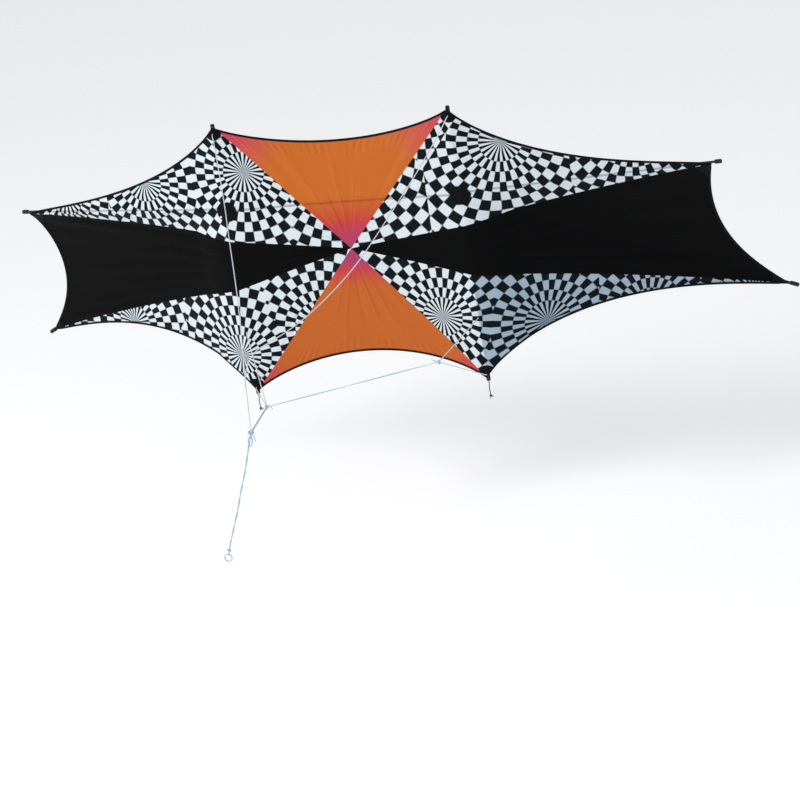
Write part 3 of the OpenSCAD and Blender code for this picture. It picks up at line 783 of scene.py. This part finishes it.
# %% [markdown]
# A folded tape binds every scallop. Its section wraps the cloth's edge, 5 mm in from the cut.

# %% edge bindings
SECTION = [(-0.3, 0), (0.2, 1.0), (1.2, 1.25), (4.5, 1.1), (5.0, 0.5),
           (5.0, -0.5), (4.5, -1.1), (1.2, -1.25), (0.2, -1.0)]  # in from the edge, off the cloth

def binding(name, edge, t0, t1, s):
    t = eased(t0, t1, np.arange(111) / 110)
    rings = [on_sail(mirrored(scallop(edge, t, inset), s), lift) for inset, lift in SECTION]
    points = row(np.stack(rings, 1))
    n, k = points.shape[:2]
    faces = [(a, d, c, b) for a, b, c, d in ring_faces(n, k)]
    faces += [tuple(range(k)), tuple((n - 1) * k + j for j in range(k))[::-1]]
    if s < 0:
        faces = [f[::-1] for f in faces]
    ob = make(name + "_visual", points.reshape(-1, 3), faces, mats["tape"])
    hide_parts(name)
    return ob

CENTRE_SPAN = (0.012, 0.988)
SPANS = {"upper": (0.035, 0.985), "side": (0.04, 0.975), "lower": (0.015, 0.965)}
for name in ("top", "bottom"):
    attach(binding(name + "_binding", name, *CENTRE_SPAN, 1), "root")
for s, side in SIDES:
    for name, (t0, t1) in SPANS.items():
        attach(binding(f"{side}_{name}_binding", name, t0, t1, s), side + "_wing")
print("bindings", 2 + 2 * len(SPANS))

# %% [markdown]
# Black patches cover each hub and each tip. Those at the tips ride on the wing.

# %% patches
def edge_height(name, x):
    """Height of a scallop at x."""
    p = scallop(name, np.linspace(0, 1, 400), 1.0)
    o = np.argsort(p[:, 0])
    return np.interp(x, p[o, 0], p[o, 1])

def spine_patch(s, side, end, outer_edge):
    """The patch over one end of a spine."""
    dx = np.array([-18, -14, -10, -6, -3, 0, 3, 6, 10, 14, 18.0])
    x = SPINE + dx
    tip = np.where(dx <= 0, edge_height(end, x), edge_height(outer_edge, x))
    sign = -1 if end == "top" else 1
    root = (LENGTH if end == "top" else 0) + sign * (34 - 9 * (dx / 18) ** 2)
    tip = np.where(sign * (root - tip) < 1, root - sign * 1, tip)
    v = np.linspace(0, 1, 9)[:, None]
    flat = np.stack([np.broadcast_to(x, (9, len(x))), tip + (root - tip) * v], -1)
    points = row(on_sail(mirrored(flat, s), 1.0))
    return make(f"{side}_{end}_patch", points.reshape(-1, 3), grid_faces(*points.shape[:2]), mats["tape"])

def hub_patch(s, side):
    """The patch over a hub, with eight sides on the left and six on the right."""
    rings, corners = np.linspace(0.02, 1, 9), 8 if s < 0 else 6
    a = np.arange(48) * 2 * math.pi / 48 + math.pi / 2
    half = math.pi / corners
    reach = 25.5 * math.cos(half) / np.cos((a + half * (s < 0)) % (2 * half) - half)
    reach = np.minimum(reach, 25.0)
    x, z = SPINE + np.outer(rings, reach * np.cos(a)), HUB + np.outer(rings, reach * np.sin(a))
    points = row(on_sail(mirrored(np.stack([x, z], -1), s), 1.1))
    faces = ring_faces(*points.shape[:2])
    return make(side + "_hub_patch_visual", points.reshape(-1, 3), faces, mats["tape"])

def tip_patches(s, side):
    """One piece of cloth over each of a wing's two tips."""
    verts = []
    for edge, reach, other, stop in (("upper", 0.085, "side", 0.9), ("side", 0.11, "lower", 0.935)):
        t = np.linspace(0.02, 1, 10)
        first, last = scallop(edge, reach * t, 1.0), scallop(other, 1.0 + (stop - 1.0) * t, 1.0)
        flat = mirrored(first[:, None] + (last - first)[:, None] * np.linspace(0, 1, 6)[:, None], s)
        verts += list(row(on_sail(flat, 1.3)).reshape(-1, 3))
    return make(side + "_tip_patches", verts, grid_faces(10, 6) + grid_faces(10, 6, 60), mats["tape"])

for s, side in SIDES:
    ends = [spine_patch(s, side, "top", "upper"), spine_patch(s, side, "bottom", "lower")]
    hub = hub_patch(s, side)
    for ob in (*ends, hub):
        face_front(ob)
        fold_at_spine(ob)
    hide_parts(side + "_spine_patches")
    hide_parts(side + "_hub_patch")
    tips = face_front(tip_patches(s, side))
    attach(tips, side + "_wing")
    print(side, "patches:", [ob.name for ob in (*ends, hub, tips)])

# %% [markdown]
# Small details: a pale rivet on the left hub patch, and straps that hold each spine to the back
# of the sail.

# %% small details
RIVET_SIDES = 16
rivet = on_sail(np.array([[-296.0, 432.0]]), 1.6)[0]
verts = [row(rivet + [0, -1.0, 0])]
for r, d in ((1.6, -0.8), (3.0, 0.4)):  # the dome's two rings: radius and depth
    for a in np.arange(RIVET_SIDES) * 2 * math.pi / RIVET_SIDES:
        verts.append(row(rivet + [r * math.cos(a), d, r * math.sin(a)]))
faces = [(0, 1 + (j + 1) % RIVET_SIDES, 1 + j) for j in range(RIVET_SIDES)]
faces += [tuple(1 + q for q in f) for f in ring_faces(2, RIVET_SIDES)]
faces += [tuple(range(1 + RIVET_SIDES, 1 + 2 * RIVET_SIDES))]
ob = make("left_rivet", verts, faces, mats["pale"])
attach(ob, "left_wing")

STRAP_RADIUS, STRAP_BACK = 4.0, -6.0  # the strap goes round the spine and back to the cloth
STRAP_HALF, STRAP_HEIGHTS = 8, (70.0, 200.0, 330.0, 560.0)
turns = np.linspace(math.pi, 0, 13)
round_spine = [(STRAP_RADIUS * math.cos(q), STRAP_RADIUS * math.sin(q)) for q in turns]
round_spine = [(-STRAP_RADIUS, STRAP_BACK)] + round_spine + [(STRAP_RADIUS, STRAP_BACK)]
for s, side in SIDES:
    verts, faces = [], []
    for height in STRAP_HEIGHTS:
        faces += grid_faces(len(round_spine), 2, len(verts))
        for px, py in round_spine:
            verts += [row([s * SPINE + px, py, height + h]) for h in (-STRAP_HALF, STRAP_HALF)]
    strap = make(side + "_spine_straps", verts, faces, mats["tape"])
    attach(strap, "root")
    print(strap.name, "faces", len(faces))

# %% [markdown]
# One Geometry Nodes group sews a run of stitches along any line it is given.

# %% stitches
STITCH_SPACING, STITCH_LENGTH, STITCH_RADIUS = 0.0048, 0.0030, 0.00022  # metres

def stitch_group():
    g = bpy.data.node_groups.new("stitches", "GeometryNodeTree")
    inputs = {"Geometry": "Geometry", "Spacing": "Float", "Thickness": "Float", "Thread": "Material"}
    for name, kind in inputs.items():
        g.interface.new_socket(name, in_out="INPUT", socket_type="NodeSocket" + kind)
    g.interface.new_socket("Geometry", in_out="OUTPUT", socket_type="NodeSocketGeometry")
    def add(kind, values=None, **settings):
        n = g.nodes.new(kind)
        for a, b in settings.items():
            setattr(n, a, b)
        for a, b in (values or {}).items():
            if isinstance(b, bpy.types.NodeSocket):
                g.links.new(b, n.inputs[a])
            else:
                n.inputs[a].default_value = b
        return n
    i, o = add("NodeGroupInput"), g.nodes.new("NodeGroupOutput")
    curve = add("GeometryNodeMeshToCurve", {0: i.outputs["Geometry"]})
    spaced = add("GeometryNodeResampleCurve", {"Curve": curve.outputs[0], "Length": i.outputs["Spacing"]},
                 mode="LENGTH")
    line = add("GeometryNodeMeshCylinder",
               {"Vertices": 6, "Radius": i.outputs["Thickness"], "Depth": STITCH_LENGTH})
    tangent = add("GeometryNodeInputTangent")
    turn = add("FunctionNodeAlignEulerToVector", {"Vector": tangent.outputs[0]}, axis="Z")
    inst = add("GeometryNodeInstanceOnPoints",
               {"Points": spaced.outputs[0], "Instance": line.outputs[0], "Rotation": turn.outputs[0]})
    real = add("GeometryNodeRealizeInstances", {0: inst.outputs[0]})
    done = add("GeometryNodeSetMaterial", {"Geometry": real.outputs[0], "Material": i.outputs["Thread"]})
    g.links.new(done.outputs[0], o.inputs[0])
    return g

group = stitch_group()
ids = {x.name: x.identifier for x in group.interface.items_tree if x.in_out == "INPUT"}

def stitches(name, runs, body):
    """Sews stitches along each run of points, in one piece that rides on body."""
    verts, edges = [], []
    for p in runs:
        b = len(verts)
        verts += [tuple(q) for q in row(p)]
        edges += [(b + i, b + i + 1) for i in range(len(p) - 1)]
    me = bpy.data.meshes.new(name + "_line")
    me.from_pydata(verts, edges, [])
    src = bpy.data.objects.new(name + "_line", me)
    scene.collection.objects.link(src)
    mod = src.modifiers.new("stitches", "NODES")
    mod.node_group = group
    mod[ids["Spacing"]], mod[ids["Thickness"]] = STITCH_SPACING, STITCH_RADIUS
    mod[ids["Thread"]] = mats["thread"]
    sewn = src.evaluated_get(bpy.context.evaluated_depsgraph_get())
    plain_mesh = bpy.data.meshes.new_from_object(sewn)
    bpy.data.objects.remove(src)
    ob = bpy.data.objects.new(name, plain_mesh)
    scene.collection.objects.link(ob)
    ob.data.materials.clear()
    ob.data.materials.append(mats["thread"])
    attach(ob, body)
    print(name, "stitch faces", len(plain_mesh.polygons))

STITCH_IN, STITCH_LIFT = 3.9, 1.35  # millimetres in from the cut edge, and off the cloth
runs = []
for edge in ("top", "bottom"):
    runs.append(on_sail(scallop(edge, np.linspace(0.03, 0.97, 160), STITCH_IN), STITCH_LIFT))
stitches("centre_stitches", runs, "root")
for s, side in SIDES:
    runs = []
    for edge, (t0, t1) in SPANS.items():
        t = np.linspace(t0 + 0.02, t1 - 0.02, 160)
        runs.append(on_sail(mirrored(scallop(edge, t, STITCH_IN), s), STITCH_LIFT))
    stitches(side + "_stitches", runs, side + "_wing")

# %% [markdown]
# The stage: a pale floor well below the kite, a bright pale world, a soft key light from the upper
# left in front, and a weak cool fill from the right.

# %% stage and light
FLOOR_Z, FLOOR_HALF = -0.62, 30
corners = [(x * FLOOR_HALF, y * FLOOR_HALF, FLOOR_Z) for x, y in ((-1, -1), (1, -1), (1, 1), (-1, 1))]
pale = Cloth("floor", (0.93, 0.93, 0.93), 0.9, 0.1, Emission_Color=(1, 1, 1, 1), Emission_Strength=0.32)
floor = make("floor", corners, [(0, 1, 2, 3)], pale.mat)
world = bpy.data.worlds.new("world")
scene.world = world
world.use_nodes = True
background = world.node_tree.nodes["Background"]
background.inputs["Color"].default_value = (0.95, 0.97, 1.0, 1)
background.inputs["Strength"].default_value = 0.50
AIM = Vector((0, 0.9, 0))

def lamp(name, place, size, power, colour):
    """An area lamp at place, turned towards the kite."""
    data = bpy.data.lights.new(name, "AREA")
    data.size, data.energy, data.color = size, power, colour
    ob = bpy.data.objects.new(name, data)
    ob.location = place
    ob.rotation_euler = (AIM - Vector(place)).to_track_quat("-Z", "Y").to_euler()
    scene.collection.objects.link(ob)
    print(name, "lamp", power, "W at", place)

lamp("key", (-3.6, -2.4, 3.0), 1.6, 165, (1.0, 0.99, 0.97))
lamp("fill", (3.6, -2.0, 1.6), 2.6, 28, (0.86, 0.92, 1.0))
scene.view_settings.view_transform = "Standard"

# %% [markdown]
